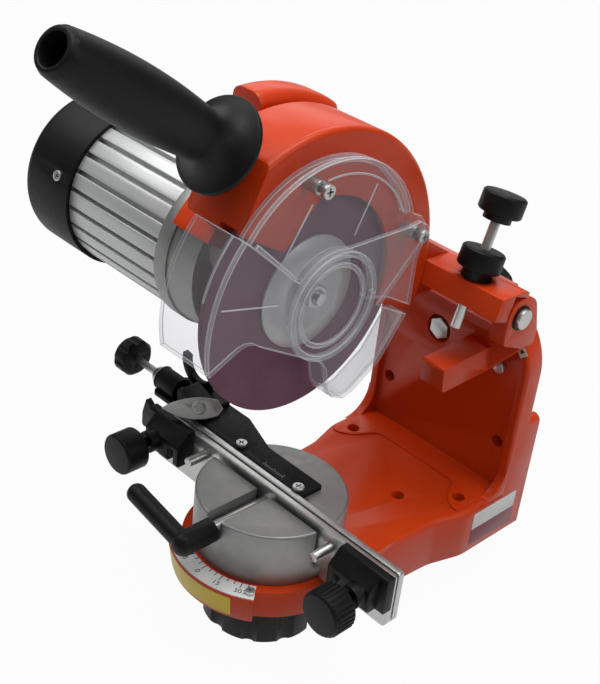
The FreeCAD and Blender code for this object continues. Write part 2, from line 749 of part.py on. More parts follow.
def wheel_cover():
    body = housing_outline(head(drum_front)).extrude(X * (cover_front - drum_front))
    long_edges = [e for e in body.Edges if e.Length > 60 and e.CenterOfMass.z > wheel_z]
    rim = [e for e in long_edges if e.BoundBox.XMin > cover_front - 0.1]
    body = body.makeFillet(3, rim)
    window = bar(on_axis(drum_front - 1), on_axis(cover_front + 1), 57)
    lobe = plate([(-70, 110), (-70, 57), (-26, 33, 3), (-3, 58), (-3, 110)], head(drum_front - 1), X * 12)
    window = window.cut(lobe)
    below = plate([(-70, 57), (-26, 33, 3), (20, 10), (20, -60), (-120, -60)], head(drum_front - 1), X * 12)
    body = body.cut([window, below])
    for angle in guard_screw_angles:
        y, z = turn(angle, guard_screw_radius)
        body = body.cut(bar(head(-10)(y, z), head(30)(y, z), 2.05))
    return body.removeSplitter()


def switch_frame(r_place, out):
    # Place on the rear end of the switch box: along its slope, then out from it.
    angle = math.radians(box_start_angle)
    y = wheel_y + r_place * math.cos(angle) + out * math.sin(angle)
    z = wheel_z + r_place * math.sin(angle) - out * math.cos(angle)
    return y, z


def switch_prism(x_half, r_low, r_high, depth_in, depth_out):
    centre_x = (box_back + box_front) / 2
    corners = [switch_frame(r_low, depth_in), switch_frame(r_high, depth_in),
               switch_frame(r_high, depth_out), switch_frame(r_low, depth_out)]
    points = [V(centre_x - x_half, y, z) for y, z in corners]
    return Part.Face(Part.makePolygon(points + points[:1])).extrude(X * (2 * x_half))


def switch_cutout():
    return switch_prism(6.5, 72, 90, -12, 2)


def gland_axis(out):
    y, z = switch_frame(62, out)
    return V((box_back + box_front) / 2, y, z)


def gland_bore(radius):
    return bar(gland_axis(-12), gland_axis(2), radius)


def switch_bezel():
    frame = switch_prism(8, 70, 91, 0, 1.6).fuse(switch_prism(6.5, 72, 90, -9, 0))
    return frame.cut(switch_prism(5, 73.5, 88.5, -10, 3))


def rocker_switch():
    body = switch_prism(4.6, 74.8, 87.2, -4, 2.4)
    y, z = switch_frame(81, 12)
    scoop = bar(V(-70, y, z), V(-20, y, z), 10.6)
    centre_x = (box_back + box_front) / 2
    y, z = switch_frame(81, -1)
    trunnion = bar(V(centre_x - 4.9, y, z), V(centre_x + 4.9, y, z), 1.5)
    return body.cut(scoop).fuse(trunnion)


def cable_gland():
    out = gland_axis(1) - gland_axis(0)
    shell = bar(gland_axis(-6), gland_axis(0), 4.6).fuse(hexagon(gland_axis(0), out, 7.2, 5))
    dome = Part.makeCone(6, 4.4, 6, gland_axis(5), out)
    return shell.fuse(dome).cut(bar(gland_axis(-7), gland_axis(12), 2.8))


def clear_guard():
    back = guard_plate_back
    depth = X * (guard_plate_front - back)
    wall_top = turn(140, guard_wall_radius)
    wall_foot = turn(192, guard_wall_radius)
    upper = wedge(head(back), guard_arc_radius, 8, 139, depth)
    lower_line = [(0, 6), wall_top, (-150, 60), (-150, -20), wall_foot, (-54, -7, 14), (4, -37, 10),
                  (10, -60, 6), (26, -70, 8), (47, -58, 6), (43, -36, 6), (77.2, 10.8)]
    disc = bar(on_axis(back), on_axis(guard_plate_front), guard_wall_radius)
    lower = plate(lower_line, head(back), depth).common(disc)
    face = upper.fuse(lower)
    reach = guard_wall_back - guard_plate_front
    wall = wedge(head(guard_plate_front), guard_wall_radius, 140, 192, X * reach)
    wall = wall.cut(bar(on_axis(-60), on_axis(60), guard_wall_radius - guard_wall))
    rim = wedge(head(back), guard_arc_radius, 8, 139, X * (cover_front + 0.2 - back))
    rim = rim.cut(bar(on_axis(-60), on_axis(60), guard_arc_radius - guard_wall))
    tongue_line = [(10, -60, 6), (26, -70, 8), (47, -58, 6), (43, -36, 1), (40.5, -37, 1), (43.5, -56, 5),
                   (26, -66.5, 6), (13, -58, 5), (8, -43), (5, -42)]
    tongue = plate(tongue_line, head(back), X * -12)
    boss = bar(on_axis(back), on_axis(22.5), 32).cut(bar(on_axis(back - 1), on_axis(30), 28.5))
    eye = bar(on_axis(guard_plate_front), on_axis(21), 25).cut(bar(on_axis(back - 1), on_axis(30), 22))
    body = face.fuse([wall, rim, tongue, boss, eye])
    for start, end in (((-31, 2), (-79, -2)), ((20, 28), (48, 58)), ((31, -4), (46, -12))):
        run = V(0, end[0] - start[0], end[1] - start[1])
        across = V(0, -run.z, run.y).normalize() * 1.2
        first = head(guard_plate_front - 0.5)(*start)
        points = [first + across, first + run + across, first + run - across, first - across]
        body = body.fuse(Part.Face(Part.makePolygon(points + points[:1])).extrude(X * 2.5))
    holes = []
    for angle in guard_screw_angles:
        y, z = turn(angle, guard_screw_radius)
        holes.append(bar(head(-10)(y, z), head(30)(y, z), 2.05))
    return body.cut(holes).removeSplitter()


def guard_spacers():
    spacers = []
    for angle in guard_screw_angles:
        y, z = turn(angle, guard_screw_radius)
        spacers.append(ring(head(cover_front)(y, z), head(guard_plate_back)(y, z), 4, 2.05))
    return Part.makeCompound(spacers)


def guard_screws():
    screws = []
    for angle in guard_screw_angles:
        y, z = turn(angle, guard_screw_radius)
        head_part = bar(head(guard_plate_front)(y, z), head(guard_plate_front + 3.2)(y, z), 4)
        screws.append(head_part.fuse(bar(head(drum_front)(y, z), head(guard_plate_front)(y, z), 2)))
    return Part.makeCompound(screws)


def motor_front_ring():
    body = ring(on_axis(ring_end), on_axis(neck_end), fin_radius + 1.5, 16)
    spigot = ring(on_axis(neck_end), on_axis(drum_back - 3), neck_radius - 5.4, neck_radius - 10)
    return body.fuse(spigot).removeSplitter()


def motor_body():
    body = ring(on_axis(motor_back), on_axis(ring_end), fin_radius, 36)
    grooves = []
    for i in range(fin_count):
        slot = block(motor_back - 1, ring_end + 1, -1.4, 1.4, fin_radius - 5, fin_radius + 5)
        slot.rotate(V(0, 0, 0), X, 360 * (i + 0.5) / fin_count)
        slot.translate(V(0, wheel_y, wheel_z))
        grooves.append(slot)
    return body.cut(grooves)


def rear_shield():
    body = ring(on_axis(motor_back - 5), on_axis(motor_back), fin_radius, 13)
    vents = []
    for i in range(6):
        y, z = turn(60 * i, 28)
        vents.append(bar(head(motor_back - 6)(y, z), head(motor_back + 1)(y, z), 7))
    return body.cut(vents)


def motor_end_cap():
    body = bar(on_axis(cap_end), on_axis(motor_back + 1.5), cap_radius)
    rim = [e for e in body.Edges if isinstance(e.Curve, Part.Circle) and e.BoundBox.XMax < cap_end + 0.1]
    body = body.makeFillet(7, rim)
    body = body.cut([
        bar(on_axis(cap_end + 3), on_axis(motor_back + 2), cap_radius - 6),
        bar(on_axis(motor_back - 5), on_axis(motor_back + 2), fin_radius),
    ])
    slots = []
    for i in range(5):
        slots.append(block(cap_end - 1, cap_end + 4, wheel_y - 24, wheel_y + 24,
                           wheel_z - 21.5 + 10 * i, wheel_z - 18.5 + 10 * i))
    vent_disc = bar(on_axis(cap_end - 2), on_axis(cap_end + 5), 32)
    holes = []
    place = head(cap_screw_x)
    for angle in cap_screw_angles:
        seat = place(*turn(angle, cap_radius - 1))
        holes.append(bar(place(*turn(angle, 35)), seat, 2.05))
        holes.append(bar(seat, place(*turn(angle, 60)), 3.3))
    return body.cut([slot.common(vent_disc) for slot in slots] + holes)


def cap_screws():
    screws = []
    place = head(cap_screw_x)
    for angle in cap_screw_angles:
        seat = place(*turn(angle, cap_radius - 1))
        tip = place(*turn(angle, cap_radius - 7))
        top = place(*turn(angle, cap_radius + 1.2))
        screws.append(bar(seat, top, 3.2).fuse(bar(tip, seat, 2)))
    return Part.makeCompound(screws)


def stator():
    body = ring(on_axis(-140), on_axis(-86), 36, 25.6)
    coils = []
    for start in (-147, -86):
        coils.append(ring(on_axis(start), on_axis(start + 7), 33, 27.5))
    return body.fuse(coils).removeSplitter()


def bearing(start, end, outer):
    return ring(on_axis(start), on_axis(end), outer, arbor_radius)


def front_bearing():
    return bearing(ring_end, neck_end, 16)


def rear_bearing():
    return bearing(motor_back - 5, motor_back, 13)


def motor_shaft():
    shoulder = on_axis(-0.4)
    return bar(on_axis(-182), shoulder, arbor_radius).fuse(bar(shoulder, on_axis(13), arbor_thread_radius))


def rotor_core():
    return ring(on_axis(-140), on_axis(-86), 25, arbor_radius)


def cooling_fan():
    hub = ring(on_axis(-180), on_axis(-162), 12, arbor_radius)
    disc = ring(on_axis(-164), on_axis(-162), 36, arbor_radius)
    blades = []
    for i in range(7):
        blade = block(-178, -163, -1, 1, 10, 36)
        blade.rotate(V(0, 0, 0), X, 360 * i / 7)
        blade.translate(V(0, wheel_y, wheel_z))
        blades.append(blade)
    return hub.fuse([disc] + blades).removeSplitter()


def inner_flange():
    disc = ring(on_axis(-9), on_axis(-wheel_thickness), flange_radius, arbor_radius)
    hub = ring(on_axis(-16), on_axis(-9), 13, arbor_radius)
    spigot = ring(on_axis(-wheel_thickness), on_axis(-0.4), 11, arbor_radius)
    return disc.fuse([hub, spigot]).removeSplitter()


def grinding_wheel():
    return ring(on_axis(-wheel_thickness), on_axis(0), wheel_radius, 11.1)


def outer_flange():
    disc = ring(on_axis(0), on_axis(2), flange_radius, arbor_thread_radius)
    cone = Part.makeCone(flange_radius, 24, 3.4, on_axis(2), X)
    dish = Part.makeCone(15, 20, 2.4, on_axis(3.2), X)
    return disc.fuse(cone).cut([dish, bar(on_axis(-1), on_axis(20), arbor_thread_radius)]).removeSplitter()


def arbor_nut():
    return hexagon(on_axis(3.2), X, 7.4, 6.5).cut(bar(on_axis(0), on_axis(20), arbor_thread_radius))


def handle():
    # Trumpet flange, neck, swelling barrel and open end, turned about the handle's own axis.
    axis = on_handle(1) - on_handle(0)
    across = V(0, math.sin(handle_rise), math.cos(handle_rise))

    def at(along, radius):
        return on_handle(along) + across * radius

    trumpet = Part.Arc(at(2.5, 25.5), at(7, 18.2), at(21, 13.8)).toShape()
    barrel = Part.Arc(at(21, 13.8), at(72, 15.8), at(113, 12)).toShape()
    edges = [
        Part.LineSegment(on_handle(-3), at(-3, 20)).toShape(),
        Part.LineSegment(at(-3, 20), at(0, 25.5)).toShape(),
        Part.LineSegment(at(0, 25.5), at(2.5, 25.5)).toShape(),
        trumpet,
        barrel,
        Part.LineSegment(at(113, 12), at(handle_length, 10.5)).toShape(),
        Part.LineSegment(at(handle_length, 10.5), on_handle(handle_length)).toShape(),
        Part.LineSegment(on_handle(handle_length), on_handle(-3)).toShape(),
    ]
    body = Part.Face(Part.Wire(edges)).revolve(on_handle(0), axis, 360)
    bore = bar(on_handle(60), on_handle(handle_length + 1), 8.2)
    return body.cut([bore, bar(on_handle(-4), on_handle(26), 4)])


def handle_stud():
    return bar(on_handle(-18), on_handle(26), 4)


def depth_rod():
    return bar(depth_place(-18.8), depth_place(58), depth_rod_radius)


def depth_place(rise):
    return head_point(depth_rod_x, depth_rod_forward, rise)


def depth_grip(seat, knob_bottom, bore_end):
    # Round plastic knob on a collar, bored for the depth rod.
    axis = (depth_place(1) - depth_place(0)).normalize()
    grip = round_knob(depth_place(knob_bottom), axis, 13.2, 12.5)
    collar = bar(depth_place(seat), depth_place(knob_bottom), 8.5)
    bore = bar(depth_place(seat - 5), depth_place(bore_end), depth_rod_radius + running_fit)
    return grip.fuse(collar).cut(bore)


def depth_knob():
    return depth_grip(48, 52, 58)


def depth_lock_nut():
    return depth_grip(depth_seat + 0.2, 18, 40)


nodes = {
    "base_casting": base_casting,
    "angle_scale": angle_scale,
    "scale_screws": scale_screws,
    "lock_washer": lock_washer,
    "vise_turret": vise_turret,
    "pivot_stud": pivot_stud,
    "fixed_rail": fixed_rail,
    "guide_bolts": guide_bolts,
    "stop_plate": stop_plate,
    "stop_plate_screws": stop_plate_screws,
    "vise_lock_knob": vise_lock_knob,
    "moving_rail": moving_rail,
    "right_rail_block": rail_block,
    "left_rail_block": left_rail_block,
    "right_block_knob": block_knob,
    "left_block_knob": lambda: mirrored(block_knob()),
    "clamp_lever": clamp_lever,
    "clamp_rod": clamp_rod,
    "stop_carriage": stop_carriage,
    "pawl_pin": pawl_pin,
    "stop_pawl": stop_pawl,
    "stop_screw": stop_screw,
    "stop_knob": stop_knob,
    "tilt_bracket": tilt_bracket,
    "tilt_bolt": tilt_bolt,
    "tilt_lock_knob": tilt_lock_knob,
    "hinge_pin": hinge_pin,
    "return_spring": return_spring,
    "wheel_housing": wheel_housing,
    "wheel_cover": wheel_cover,
    "clear_guard": clear_guard,
    "guard_spacers": guard_spacers,
    "guard_screws": guard_screws,
    "switch_bezel": switch_bezel,
    "rocker_switch": rocker_switch,
    "cable_gland": cable_gland,
    "motor_front_ring": motor_front_ring,
    "motor_body": motor_body,
    "rear_shield": rear_shield,
    "motor_end_cap": motor_end_cap,
    "cap_screws": cap_screws,
    "stator": stator,
    "front_bearing": front_bearing,
    "rear_bearing": rear_bearing,
    "motor_shaft": motor_shaft,
    "rotor_core": rotor_core,
    "cooling_fan": cooling_fan,
    "inner_flange": inner_flange,
    "grinding_wheel": grinding_wheel,
    "outer_flange": outer_flange,
    "arbor_nut": arbor_nut,
    "handle": handle,
    "handle_stud": handle_stud,
    "depth_rod": depth_rod,
    "depth_knob": depth_knob,
    "depth_lock_nut": depth_lock_nut,
}

os.makedirs("parts", exist_ok=True)
to_origin = V(0, -bench_bolt_y, 0)
for name, make in nodes.items():
    shape = make()
    shape.translate(to_origin)
    print(name, shape.ShapeType, len(shape.Solids), "solids", round(shape.Volume / 1000, 2), "cm3",
          "valid" if shape.isValid() else "NOT VALID")
    shape.exportStep("parts/" + name + ".step")
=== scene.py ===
import json
import math

import bpy
from mathutils import Matrix, Vector


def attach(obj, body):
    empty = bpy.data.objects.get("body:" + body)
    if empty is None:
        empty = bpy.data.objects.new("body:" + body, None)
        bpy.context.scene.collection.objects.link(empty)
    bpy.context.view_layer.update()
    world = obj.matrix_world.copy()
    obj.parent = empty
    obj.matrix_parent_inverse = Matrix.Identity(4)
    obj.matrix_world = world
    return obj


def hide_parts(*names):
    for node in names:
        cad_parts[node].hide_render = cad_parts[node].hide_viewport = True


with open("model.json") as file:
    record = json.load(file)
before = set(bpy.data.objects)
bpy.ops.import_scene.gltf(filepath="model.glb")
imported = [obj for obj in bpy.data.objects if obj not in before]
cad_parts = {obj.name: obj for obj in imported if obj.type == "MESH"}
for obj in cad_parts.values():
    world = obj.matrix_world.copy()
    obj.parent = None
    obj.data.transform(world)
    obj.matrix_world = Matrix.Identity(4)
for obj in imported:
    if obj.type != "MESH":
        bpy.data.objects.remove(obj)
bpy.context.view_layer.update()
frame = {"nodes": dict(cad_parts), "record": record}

nodes = frame["nodes"]
bodies = frame["record"]["behaviour"]["bodies"]
bodyOf = {node: body for body, members in bodies.items() for node in members}
slotOf = {entry["node"]: entry["material_slot"] for entry in frame["record"]["subparts"]}
viseToOrigin = 122.5  # millimetres from the vise's axis back to the origin
wheelAxis = (8.5, 198.6)  # the wheel's axis, behind and above the vise's foot
print("frame loaded", len(nodes), "nodes")


# millimetres from the vise's axis, as the solids are drawn, to metres in the frame
def at(x, y, z):
    return Vector((x, y - viseToOrigin, z)) / 1000


# a point at an angle and radius about the wheel's axis
def aroundHead(x, angle, radius):
    turn = math.radians(angle)
    return at(x, wheelAxis[0] + radius * math.cos(turn), wheelAxis[1] + radius * math.sin(turn))


# colours are written as they look, 0 to 255
def paint(red, green, blue):
    def linear(value):
        value = value / 255
        return value / 12.92 if value < 0.04045 else ((value + 0.055) / 1.055) ** 2.4
    return (linear(red), linear(green), linear(blue), 1.0)


class Socket:
    def __init__(self, finish, output):
        self.finish = finish
        self.output = output

    def join(self, operation, first, second):
        return self.finish.node("ShaderNodeMath", {"operation": operation}, {0: first, 1: second})

    def __add__(self, other):
        return self.join("ADD", self, other)

    def __radd__(self, other):
        return self.join("ADD", other, self)

    def __sub__(self, other):
        return self.join("SUBTRACT", self, other)

    def __rsub__(self, other):
        return self.join("SUBTRACT", other, self)

    def __mul__(self, other):
        return self.join("MULTIPLY", self, other)

    def __rmul__(self, other):
        return self.join("MULTIPLY", other, self)

    def __lt__(self, other):
        return self.join("LESS_THAN", self, other)

    def __gt__(self, other):
        return self.join("GREATER_THAN", self, other)


class Finish:
    def __init__(self, name):
        self.material = bpy.data.materials.new(name)
        self.material.use_nodes = True
        self.tree = self.material.node_tree
        self.shader = self.tree.nodes["Principled BSDF"]
        self.place = self.node("ShaderNodeTexCoord", output="Object")

    def node(self, kind, settings=None, sockets=None, output=0):
        made = self.tree.nodes.new(kind)
        for key, value in (settings or {}).items():
            if key == "stops":
                while len(made.color_ramp.elements) < len(value):
                    made.color_ramp.elements.new(1.0)
                for element, (position, colour) in zip(made.color_ramp.elements, value):
                    element.position = position
                    element.color = colour
            else:
                setattr(made, key, value)
        for key, value in (sockets or {}).items():
            self.feed(made.inputs[key], value)
        return Socket(self, made.outputs[output])

    def feed(self, target, value):
        if isinstance(value, Socket):
            self.tree.links.new(value.output, target)
        else:
            target.default_value = value

    def surface(self, **sockets):
        for key, value in sockets.items():
            self.feed(self.shader.inputs[key.replace("_", " ")], value)
        return self.material

    def noise(self, scale, detail=3.0, stretch=(1, 1, 1), rough=0.55):
        where = self.node("ShaderNodeMapping", None, {"Vector": self.place, "Scale": stretch})
        return self.node("ShaderNodeTexNoise", None,
                         {"Vector": where, "Scale": scale, "Detail": detail, "Roughness": rough})

    def blend(self, factor, first, second):
        return self.node("ShaderNodeMix", {"data_type": "RGBA"}, {0: factor, 6: first, 7: second}, output=2)

    def spread(self, value, low, high):
        return self.node("ShaderNodeMapRange", None,
                         {"Value": value, "From Min": 0.3, "From Max": 0.7, "To Min": low, "To Max": high})

    def bump(self, height, strength, depth):
        return self.node("ShaderNodeBump", None,
                         {"Height": height, "Strength": strength, "Distance": depth})


# glossy enamel over a casting: long soft waves rather than grain
def enamel():
    look = {"colour": paint(208, 64, 14), "shade": paint(198, 56, 11), "waves": 70.0}
    finish = Finish("orangeEnamel")
    cloud = finish.noise(9.0)
    waves = finish.noise(look["waves"], 1.0)
    return finish.surface(
        Base_Color=finish.blend(finish.spread(cloud, 0.0, 1.0), look["shade"], look["colour"]),
        Roughness=finish.spread(waves, 0.32, 0.4), Specular_IOR_Level=0.22,
        Coat_Weight=0.05, Coat_Roughness=0.1,
        Normal=finish.bump(waves, 0.05, 0.0008))


def blackPlastic(name, tone, rough, grain, relief):
    finish = Finish(name)
    speck = finish.noise(grain, 2.0)
    pale = paint(tone + 4, tone + 4, tone + 5)
    tint = finish.blend(finish.spread(speck, 0.0, 1.0), paint(tone, tone, tone), pale)
    return finish.surface(Base_Color=tint, Roughness=finish.spread(speck, rough - 0.05, rough + 0.07),
                          Specular_IOR_Level=0.2, Normal=finish.bump(speck, relief, 0.0002))


# metal share below one keeps the soft, milky look of plating and of blasted castings
def plainMetal(name, colour, share, rough, stretch, scale, relief):
    finish = Finish(name)
    streak = finish.noise(scale, 3.0, stretch)
    wear = finish.noise(18.0, 3.0)
    dark = tuple(0.84 * part for part in colour[:3]) + (1.0,)
    return finish.surface(
        Base_Color=finish.blend(finish.spread(wear, 0.0, 1.0), dark, colour),
        Metallic=share, Roughness=finish.spread(streak, rough - 0.05, rough + 0.07),
        Normal=finish.bump(streak, relief, 0.0002))


def abrasive():
    look = {"deep": paint(110, 72, 90), "mid": paint(126, 86, 104), "pale": paint(156, 118, 134)}
    finish = Finish("mauveGrit")
    grain = finish.noise(1500.0, 2.0)
    cloud = finish.noise(40.0, 3.0)
    tint = finish.blend(finish.spread(cloud, 0.0, 1.0), look["deep"], look["mid"])
    pale = finish.blend(finish.spread(grain, 0.0, 0.4), tint, look["pale"])
    return finish.surface(Base_Color=pale, Roughness=0.95, Specular_IOR_Level=0.2,
                          Normal=finish.bump(grain, 0.2, 0.0003))


# clear sheet: what is behind shows through, and gloss grows towards grazing angles
def clearSheet(name, haze, gloss):
    finish = Finish(name)
    facing = finish.node("ShaderNodeLayerWeight", None, {"Blend": 0.5}, output="Facing")
    rim = finish.node("ShaderNodeMath", {"operation": "POWER"}, {0: facing, 1: 5.0})
    cloud = finish.noise(20.0, 2.0)
    share = finish.spread(cloud, haze * 0.85, haze * 1.15) + rim * gloss
    share = finish.node("ShaderNodeMath", {"operation": "MINIMUM"}, {0: share, 1: 0.9})
    through = finish.node("ShaderNodeBsdfTransparent", None, {"Color": (0.97, 0.97, 0.98, 1)})
    finish.surface(Base_Color=paint(226, 228, 232), Roughness=0.06)
    solid = Socket(finish, finish.shader.outputs[0])
    both = finish.node("ShaderNodeMixShader", None, {0: share, 1: through, 2: solid})
    finish.tree.links.new(both.output, finish.tree.nodes["Material Output"].inputs["Surface"])
    return finish.material


# white printed plate with a red line along its inner edge
def printedScale():
    look = {"line": 0.0472, "white": paint(232, 232, 230), "dull": paint(220, 220, 218),
            "red": paint(196, 40, 40)}
    finish = Finish("printedScale")
    flat = finish.node("ShaderNodeVectorMath", {"operation": "MULTIPLY"}, {0: finish.place, 1: (1, 1, 0)})
    reach = finish.node("ShaderNodeVectorMath", {"operation": "DISTANCE"},
                        {0: flat, 1: tuple(at(0, 0, 0))}, output="Value")
    cloud = finish.noise(60.0)
    white = finish.blend(finish.spread(cloud, 0.0, 1.0), look["dull"], look["white"])
    return finish.surface(Base_Color=finish.blend(reach < look["line"], white, look["red"]), Roughness=0.35)


def labelInk(name, colour):
    finish = Finish(name)
    cloud = finish.noise(45.0)
    dull = tuple(0.86 * part for part in colour[:3]) + (1.0,)
    tint = finish.blend(finish.spread(cloud, 0.0, 1.0), dull, colour)
    return finish.surface(Base_Color=tint, Roughness=0.4)


finishes = {
    "orange_paint": enamel(),
    "black_plastic": blackPlastic("blackGrip", 8, 0.48, 700.0, 0.06),
    "black_steel": blackPlastic("blackedSteel", 6, 0.55, 400.0, 0.03),
    "switch_plastic": blackPlastic("switchBlack", 14, 0.28, 300.0, 0.02),
    "zinc_steel": plainMetal("zincPlate", paint(192, 193, 191), 0.85, 0.34, (1, 1, 1), 160.0, 0.02),
    "cast_grey": plainMetal("castAlloy", paint(146, 146, 145), 0.75, 0.46, (1, 1, 1), 220.0, 0.03),
    "fin_aluminium": plainMetal("drawnFins", paint(206, 208, 208), 0.45, 0.42, (0.02, 1, 1), 500.0, 0.02),
    "flange_aluminium": plainMetal("turnedAlloy", paint(192, 193, 191), 0.4, 0.42, (1, 1, 1), 300.0, 0.02),
    "lamination_steel": plainMetal("sheetStack", paint(92, 92, 94), 0.9, 0.5, (400, 1, 1), 3.0, 0.1),
    "white_plate": printedScale(),
    "clear_plastic": clearSheet("clearSheet", 0.075, 0.8),
    "abrasive": abrasive(),
}
# whiter, more opaque sheets for the guard: on the cut edges and ribs partly painted highlight, on the
# rounded corners painted highlight
clearEdgeHighlight = clearSheet("clearEdgeHighlight", 0.6, 0.3)
clearSideAndHighlight = clearSheet("clearSideAndHighlight", 0.2, 0.5)
inks = {
    "black": labelInk("blackInk", paint(36, 34, 36)),
    "white": labelInk("whiteLabel", paint(226, 226, 224)),
    "maroon": labelInk("maroonLabel", paint(124, 34, 52)),
    "yellow": labelInk("yellowLabel", paint(232, 200, 30)),
    "pale": labelInk("paleInk", paint(176, 176, 176)),
}
print("finishes made", len(finishes) + len(inks) + 2)


def deselect():
    if bpy.context.object and bpy.context.object.mode != "OBJECT":
        bpy.ops.object.mode_set(mode="OBJECT")
    bpy.ops.object.select_all(action="DESELECT")


def choose(piece):
    deselect()
    piece.select_set(True)
    bpy.context.view_layer.objects.active = piece


def soften(piece, width, angle=35, segments=2, material=-1):
    choose(piece)
    rounding = piece.modifiers.new("ease", "BEVEL")
    rounding.width = width
    rounding.segments = segments
    rounding.limit_method = "ANGLE"
    rounding.angle_limit = math.radians(angle)
    rounding.material = material
    bpy.ops.object.modifier_apply(modifier="ease")
    bpy.ops.object.shade_smooth_by_angle(angle=math.radians(angle))


# puts a finished piece at the origin on its body
def keep(piece, name, body, slot, finish=None):
    piece.name = name
    choose(piece)
    bpy.ops.object.transform_apply(location=True, rotation=True, scale=True)
    piece.data.materials.clear()
    piece.data.materials.append(finish or finishes[slot])
    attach(piece, body)
    return piece


# a merged copy of a solid, with its sharp edges eased so that they catch light
def skin(node, ease, angle=35):
    piece = bpy.data.objects.new(node + "Skin", nodes[node].data.copy())
    bpy.context.scene.collection.objects.link(piece)
    choose(piece)
    bpy.ops.object.mode_set(mode="EDIT")
    bpy.ops.mesh.select_all(action="SELECT")
    bpy.ops.mesh.remove_doubles(threshold=2e-6)
    bpy.ops.mesh.dissolve_limited(angle_limit=math.radians(0.5))
    bpy.ops.object.mode_set(mode="OBJECT")
    piece.data.materials.clear()
    piece.data.materials.append(finishes[slotOf[node]])
    soften(piece, ease, angle)
    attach(piece, bodyOf[node])
    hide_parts(node)
    return piece


easing = {"base_casting": 0.0009, "wheel_housing": 0.0008, "wheel_cover": 0.0007, "tilt_bracket": 0.0011,
          "handle": 0.0006, "vise_turret": 0.0006}
redrawn = ["clear_guard"]
skins = {}
for node in nodes:
    if node not in redrawn:
        skins[node] = skin(node, easing.get(node, 0.0003))
print("skins made", len(skins))


def primitive(kind, **size):
    deselect()
    getattr(bpy.ops.mesh, "primitive_" + kind + "_add")(**size)
    return bpy.context.object


# turns a piece made along z to lie along a direction, with its middle at a point
def lay(piece, point, along):
    turned = Vector(along).to_track_quat("Z", "Y").to_matrix().to_4x4()
    piece.matrix_world = Matrix.Translation(point) @ turned
    return piece


# cross recess in a screw head: two crossed bars taken out of it
def recess(node, top, along, size, depth=0.0011):
    cutter = primitive("cube", size=1)
    cutter.scale = (size, size * 0.24, depth * 2)
    bpy.ops.object.transform_apply(location=False, rotation=False, scale=True)
    bpy.ops.object.duplicate()
    other = bpy.context.object
    for bar in (cutter, other):
        lay(bar, top, along)
        if bar is other:
            bar.matrix_world = bar.matrix_world @ Matrix.Rotation(math.pi / 2, 4, "Z")
        choose(skins[node])
        cut = skins[node].modifiers.new("recess", "BOOLEAN")
        cut.operation = "DIFFERENCE"
        cut.solver = "EXACT"
        cut.object = bar
        bpy.ops.object.modifier_apply(modifier="recess")
    deselect()
    cutter.select_set(True)
    other.select_set(True)
    bpy.ops.object.delete()


leverNormal = Vector((0.5, -0.55, 0.67)).normalized()
for sign in (-1, 1):
    turn = math.radians(-90 + sign * 37)
    recess("scale_screws", at(53.5 * math.cos(turn), 53.5 * math.sin(turn), 36.8), (0, 0, 1), 0.0036)
for x, y in ((12, 9), (-40, 11)):
    recess("stop_plate_screws", at(x, y, 74.2), (0, 0, 1), 0.0044)
for angle in (72, 162, 252, 342):
    outward = aroundHead(0, angle, 1) - aroundHead(0, angle, 0)
    recess("cap_screws", aroundHead(-162, angle, 50.2), outward, 0.004)
for angle in (101.5, 18.8):
    recess("guard_screws", aroundHead(22.2, angle, 71), (1, 0, 0), 0.0046, 0.0014)
recess("pawl_pin", at(-75.5, 6.5, 80.6) + leverNormal * 0.0052, leverNormal, 0.0052)
print("screw recesses cut")


# The clear guard is drawn again with the photograph's finer lines: an arch behind, a face plate
# in front of it, a wall round the wheel's left and a chute below. Sizes are from the wheel's axis.
guard = {"archMiddle": (-2.1, 12.8), "archRadius": 68.5, "archStart": 147, "archEnd": 20, "rimThick": 3.0,
         "rimBack": 6.8, "archBack": 13.4, "archFront": 16.0, "faceBack": 16.2, "faceFront": 19.0,
         "wallRadius": 84.0, "wallThick": 2.6, "wallBack": -20.0, "wallStart": 140, "wallEnd": 191,
         "hub": (32.0, 28.5, 22.5), "eye": (25.0, 22.0, 21.0), "hubTurn": (141, 74), "hubUnder": -14,
         "chuteBack": 4.0, "chuteMiddle": (30, -38), "chuteShare": 0.93,
         "step": ((-59.5, 51.4), (-29, 23.7), 2.6), "stepFront": 21.0,
         "line": (61.2, 60.0, 98, 27), "lineFront": 16.8, "fold": (84.5, 83.8, 140, 165, 8.2, 9.6),
         "ribHeight": 1.0, "gap": 0.15, "round": 0.00045}
archEar = [(69.5, 33), (74.5, 27), (75, 17), (72, 6), (71.9, -24.5), (51.5, -13.2)]
faceWing = [(57.9, 30.4), (66, 31.6), (73, 27.5), (74.2, 19), (67, 12.3), (41.4, -14)]
chuteLine = [(65.9, -26.7), (48.7, -51.8), (28, -65.5), (20.4, -67.3), (11, -63), (6.9, -57.3),
             (3.5, -42), (-0.3, -36.5)]
faceFoot = [(-47.3, -10.7), (-53, -6.8), (-58.1, -5.6), (-63, -6.6)]
guardRibs = {"flat": ((-78.8, 21.5), (-39.7, 12.3), 0.9, 19.0),
             "left": ((-19.7, 62.3), (-35.1, 36.8), 1.0, 16.0),
             "right": ((27.5, 62.6), (14.5, 35.8), 0.8, 16.0)}


def onGuard(x, across, up):
    return at(x, wheelAxis[0] + across, wheelAxis[1] + up)


def arcPoints(middle, radius, start, end, steps=28):
    turns = [math.radians(start + (end - start) * i / steps) for i in range(steps + 1)]
    return [(middle[0] + radius * math.cos(turn), middle[1] + radius * math.sin(turn)) for turn in turns]


